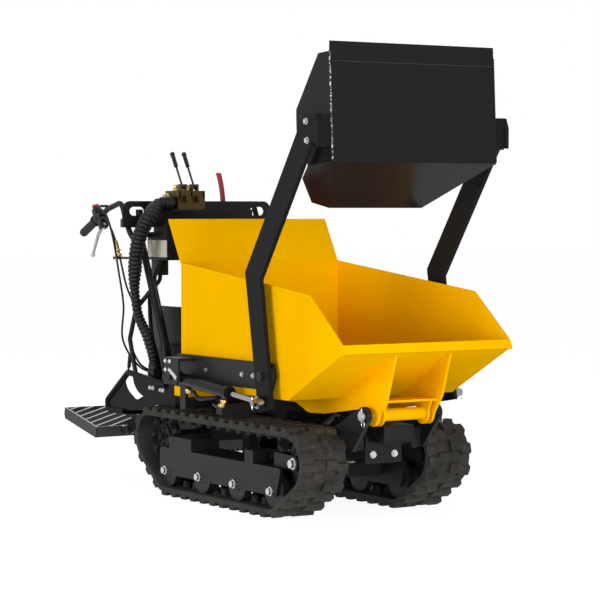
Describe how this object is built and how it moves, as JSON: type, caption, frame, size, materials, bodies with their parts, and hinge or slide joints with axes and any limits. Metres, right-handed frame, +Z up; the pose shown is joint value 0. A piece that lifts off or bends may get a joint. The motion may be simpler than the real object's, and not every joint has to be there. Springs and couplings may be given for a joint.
{
  "type": "tracked power carrier",
  "caption": "Walk-behind tracked power carrier with a yellow forward-tipping hopper, black loading shovel on side arms, hydraulic cylinders, console and riding platform.",
  "frame": {"origin": "on the ground under the middle of the overall outline", "axes": "+X forward towards the pouring lip, +Y to the left side of the machine, +Z up"},
  "size_m": [2.1199, 0.9, 1.64],
  "materials": {
    "yellow_paint": "satin powder coat",
    "black_paint": "satin powder coat",
    "shovel_paint": "semi-gloss paint",
    "cylinder_paint": "gloss paint",
    "track_rubber": "matte",
    "cast_black": "painted casting",
    "zinc_steel": "zinc plated",
    "chrome_rod": "polished",
    "lever_alloy": "polished",
    "hose_rubber": "satin",
    "hose_plastic": "ribbed conduit",
    "grip_rubber": "matte",
    "black_plastic": "grained",
    "red_paint": "satin",
    "red_plastic": "gloss",
    "platform_steel": "worn satin"
  },
  "bodies": {
    "base": {"track_left": "track_rubber", "track_right": "track_rubber", "track_frame_left": "black_paint", "track_frame_right": "black_paint", "tension_yokes": "black_paint", "chassis_frame": "black_paint", "front_plate": "black_paint", "gearbox": "cast_black", "hopper_pin": "zinc_steel", "loader_side_plates": "black_paint", "pivot_flanges": "black_paint", "lift_hoses": "hose_rubber", "engine_block": "cast_black", "engine_shroud": "black_plastic", "fuel_tank": "black_paint", "belt_guard": "black_paint", "console_panel": "black_paint", "console_column": "black_paint", "handlebars": "black_paint", "grips": "grip_rubber", "stop_switch": "black_plastic", "valve_block": "cast_black", "ribbed_hose": "hose_plastic", "control_cables": "hose_rubber", "rear_guard": "black_paint", "frame_bolts": "zinc_steel"},
    "hopper": {"hopper_tub": "yellow_paint", "hopper_hinge_frame": "yellow_paint"},
    "loader": {"arm_left": "black_paint", "arm_right": "black_paint", "shovel": "shovel_paint", "cutting_edge": "shovel_paint", "shovel_bolts": "zinc_steel"},
    "tip_barrel": {"tip_barrel": "cylinder_paint"},
    "tip_rod": {"tip_rod": "chrome_rod"},
    "platform": {"platform": "platform_steel"},
    "clutch_lever_left": {"clutch_lever_left": "lever_alloy"},
    "clutch_lever_right": {"clutch_lever_right": "lever_alloy"},
    "throttle_lever": {"throttle_lever": "black_plastic"},
    "stop_button": {"stop_button": "red_plastic"},
    "valve_lever_shovel": {"valve_lever_shovel": "black_plastic"},
    "valve_lever_hopper": {"valve_lever_hopper": "black_plastic"},
    "gear_lever": {"gear_lever": "red_paint"},
    "fuel_cap": {"fuel_cap": "black_plastic"},
    "sprocket_left": {"sprocket_left": "cast_black"},
    "idler_left": {"idler_left": "cast_black"},
    "lift_barrel_left": {"lift_barrel_left": "cylinder_paint"},
    "lift_rod_left": {"lift_rod_left": "chrome_rod"},
    "roller_left_1": {"roller_left_1": "cast_black"},
    "roller_left_2": {"roller_left_2": "cast_black"},
    "roller_left_3": {"roller_left_3": "cast_black"},
    "roller_left_4": {"roller_left_4": "cast_black"},
    "sprocket_right": {"sprocket_right": "cast_black"},
    "idler_right": {"idler_right": "cast_black"},
    "lift_barrel_right": {"lift_barrel_right": "cylinder_paint"},
    "lift_rod_right": {"lift_rod_right": "chrome_rod"},
    "roller_right_1": {"roller_right_1": "cast_black"},
    "roller_right_2": {"roller_right_2": "cast_black"},
    "roller_right_3": {"roller_right_3": "cast_black"},
    "roller_right_4": {"roller_right_4": "cast_black"}
  },
  "joints": [
    {"name": "drive_left", "type": "hinge", "parent": "base", "child": "sprocket_left", "pos_m": [-0.312, 0.262, 0.211], "axis": [0, 1, 0], "continuous": true},
    {"name": "idler_left_spin", "type": "hinge", "parent": "base", "child": "idler_left", "pos_m": [0.69, 0.262, 0.2], "axis": [0, 1, 0], "continuous": true},
    {"name": "roller_left_1_spin", "type": "hinge", "parent": "base", "child": "roller_left_1", "pos_m": [-0.192, 0.262, 0.094], "axis": [0, 1, 0], "continuous": true},
    {"name": "roller_left_2_spin", "type": "hinge", "parent": "base", "child": "roller_left_2", "pos_m": [0.064, 0.262, 0.094], "axis": [0, 1, 0], "continuous": true},
    {"name": "roller_left_3_spin", "type": "hinge", "parent": "base", "child": "roller_left_3", "pos_m": [0.32, 0.262, 0.094], "axis": [0, 1, 0], "continuous": true},
    {"name": "roller_left_4_spin", "type": "hinge", "parent": "base", "child": "roller_left_4", "pos_m": [0.576, 0.262, 0.094], "axis": [0, 1, 0], "continuous": true},
    {"name": "drive_right", "type": "hinge", "parent": "base", "child": "sprocket_right", "pos_m": [-0.312, -0.262, 0.211], "axis": [0, 1, 0], "continuous": true},
    {"name": "idler_right_spin", "type": "hinge", "parent": "base", "child": "idler_right", "pos_m": [0.69, -0.262, 0.2], "axis": [0, 1, 0], "continuous": true},
    {"name": "roller_right_1_spin", "type": "hinge", "parent": "base", "child": "roller_right_1", "pos_m": [-0.192, -0.262, 0.094], "axis": [0, 1, 0], "continuous": true},
    {"name": "roller_right_2_spin", "type": "hinge", "parent": "base", "child": "roller_right_2", "pos_m": [0.064, -0.262, 0.094], "axis": [0, 1, 0], "continuous": true},
    {"name": "roller_right_3_spin", "type": "hinge", "parent": "base", "child": "roller_right_3", "pos_m": [0.32, -0.262, 0.094], "axis": [0, 1, 0], "continuous": true},
    {"name": "roller_right_4_spin", "type": "hinge", "parent": "base", "child": "roller_right_4", "pos_m": [0.576, -0.262, 0.094], "axis": [0, 1, 0], "continuous": true},
    {"name": "hopper_tip", "type": "hinge", "parent": "base", "child": "hopper", "pos_m": [0.88, 0, 0.372], "axis": [0, 1, 0], "range_deg": [0, 48]},
    {"name": "tip_barrel_swing", "type": "hinge", "parent": "base", "child": "tip_barrel", "pos_m": [0.19, 0, 0.2], "axis": [0, 1, 0], "range_deg": [-15, 1]},
    {"name": "tip_rod_slide", "type": "slide", "parent": "tip_barrel", "child": "tip_rod", "axis": [0.8725, 0, 0.4886], "range_m": [-0.001, 0.26]},
    {"name": "loader_lift", "type": "hinge", "parent": "base", "child": "loader", "pos_m": [0.6, 0, 0.5], "axis": [0, 1, 0], "range_deg": [-6, 97]},
    {"name": "lift_barrel_left_swing", "type": "hinge", "parent": "base", "child": "lift_barrel_left", "pos_m": [0.034, 0.412, 0.462], "axis": [0, 1, 0], "range_deg": [-10, 2]},
    {"name": "lift_rod_left_slide", "type": "slide", "parent": "lift_barrel_left", "child": "lift_rod_left", "axis": [0.9964, 0, -0.085], "range_m": [-0.12, 0.012]},
    {"name": "lift_barrel_right_swing", "type": "hinge", "parent": "base", "child": "lift_barrel_right", "pos_m": [0.034, -0.412, 0.462], "axis": [0, 1, 0], "range_deg": [-10, 2]},
    {"name": "lift_rod_right_slide", "type": "slide", "parent": "lift_barrel_right", "child": "lift_rod_right", "axis": [0.9964, 0, -0.085], "range_m": [-0.12, 0.012]},
    {"name": "platform_fold", "type": "hinge", "parent": "base", "child": "platform", "pos_m": [-0.742, 0, 0.196], "axis": [0, 1, 0], "range_deg": [0, 50]},
    {"name": "clutch_left", "type": "hinge", "parent": "base", "child": "clutch_lever_left", "pos_m": [-0.78094, 0.3, 1.01357], "axis": [0, 1, 0], "range_deg": [0, 20], "stiffness_Nm_per_rad": 2, "springref_deg": -5.73},
    {"name": "clutch_right", "type": "hinge", "parent": "base", "child": "clutch_lever_right", "pos_m": [-0.78094, -0.3, 1.01357], "axis": [0, 1, 0], "range_deg": [0, 20], "stiffness_Nm_per_rad": 2, "springref_deg": -5.73},
    {"name": "throttle_turn", "type": "hinge", "parent": "base", "child": "throttle_lever", "pos_m": [-0.76955, -0.3, 1.09077], "axis": [0, 0, 1], "range_deg": [-30, 30]},
    {"name": "stop_press", "type": "slide", "parent": "base", "child": "stop_button", "axis": [-0.4057, 0, 0.914], "range_m": [-0.005, 0], "stiffness_N_per_m": 400, "springref_m": 0.002},
    {"name": "valve_shovel", "type": "hinge", "parent": "base", "child": "valve_lever_shovel", "pos_m": [-0.462, -0.116, 1.167], "axis": [0, 1, 0], "range_deg": [-15, 15], "stiffness_Nm_per_rad": 8},
    {"name": "valve_hopper", "type": "hinge", "parent": "base", "child": "valve_lever_hopper", "pos_m": [-0.462, -0.064, 1.167], "axis": [0, 1, 0], "range_deg": [-15, 15], "stiffness_Nm_per_rad": 8},
    {"name": "gear_shift", "type": "hinge", "parent": "base", "child": "gear_lever", "pos_m": [-0.578, 0.135, 1.077], "axis": [0, 1, 0], "range_deg": [-10, 10]},
    {"name": "fuel_cap_twist", "type": "hinge", "parent": "base", "child": "fuel_cap", "pos_m": [-0.5, 0.07, 0.692], "axis": [0, 0, 1], "range_deg": [0, 90]}
  ],
  "couplings": [
    {"joint": "idler_left_spin", "follows": "drive_left", "ratio": 0.90217},
    {"joint": "roller_left_1_spin", "follows": "drive_left", "ratio": 1.3387},
    {"joint": "roller_left_2_spin", "follows": "drive_left", "ratio": 1.3387},
    {"joint": "roller_left_3_spin", "follows": "drive_left", "ratio": 1.3387},
    {"joint": "roller_left_4_spin", "follows": "drive_left", "ratio": 1.3387},
    {"joint": "idler_right_spin", "follows": "drive_right", "ratio": 0.90217},
    {"joint": "roller_right_1_spin", "follows": "drive_right", "ratio": 1.3387},
    {"joint": "roller_right_2_spin", "follows": "drive_right", "ratio": 1.3387},
    {"joint": "roller_right_3_spin", "follows": "drive_right", "ratio": 1.3387},
    {"joint": "roller_right_4_spin", "follows": "drive_right", "ratio": 1.3387},
    {"joint": "tip_barrel_swing", "follows": "hopper_tip", "ratio": -0.27686},
    {"joint": "tip_rod_slide", "follows": "hopper_tip", "m_per_rad": 0.29931},
    {"joint": "lift_barrel_left_swing", "follows": "loader_lift", "ratio": -0.08605},
    {"joint": "lift_rod_left_slide", "follows": "loader_lift", "m_per_rad": -0.06559},
    {"joint": "lift_barrel_right_swing", "follows": "loader_lift", "ratio": -0.08605},
    {"joint": "lift_rod_right_slide", "follows": "loader_lift", "m_per_rad": -0.06559}
  ]
}
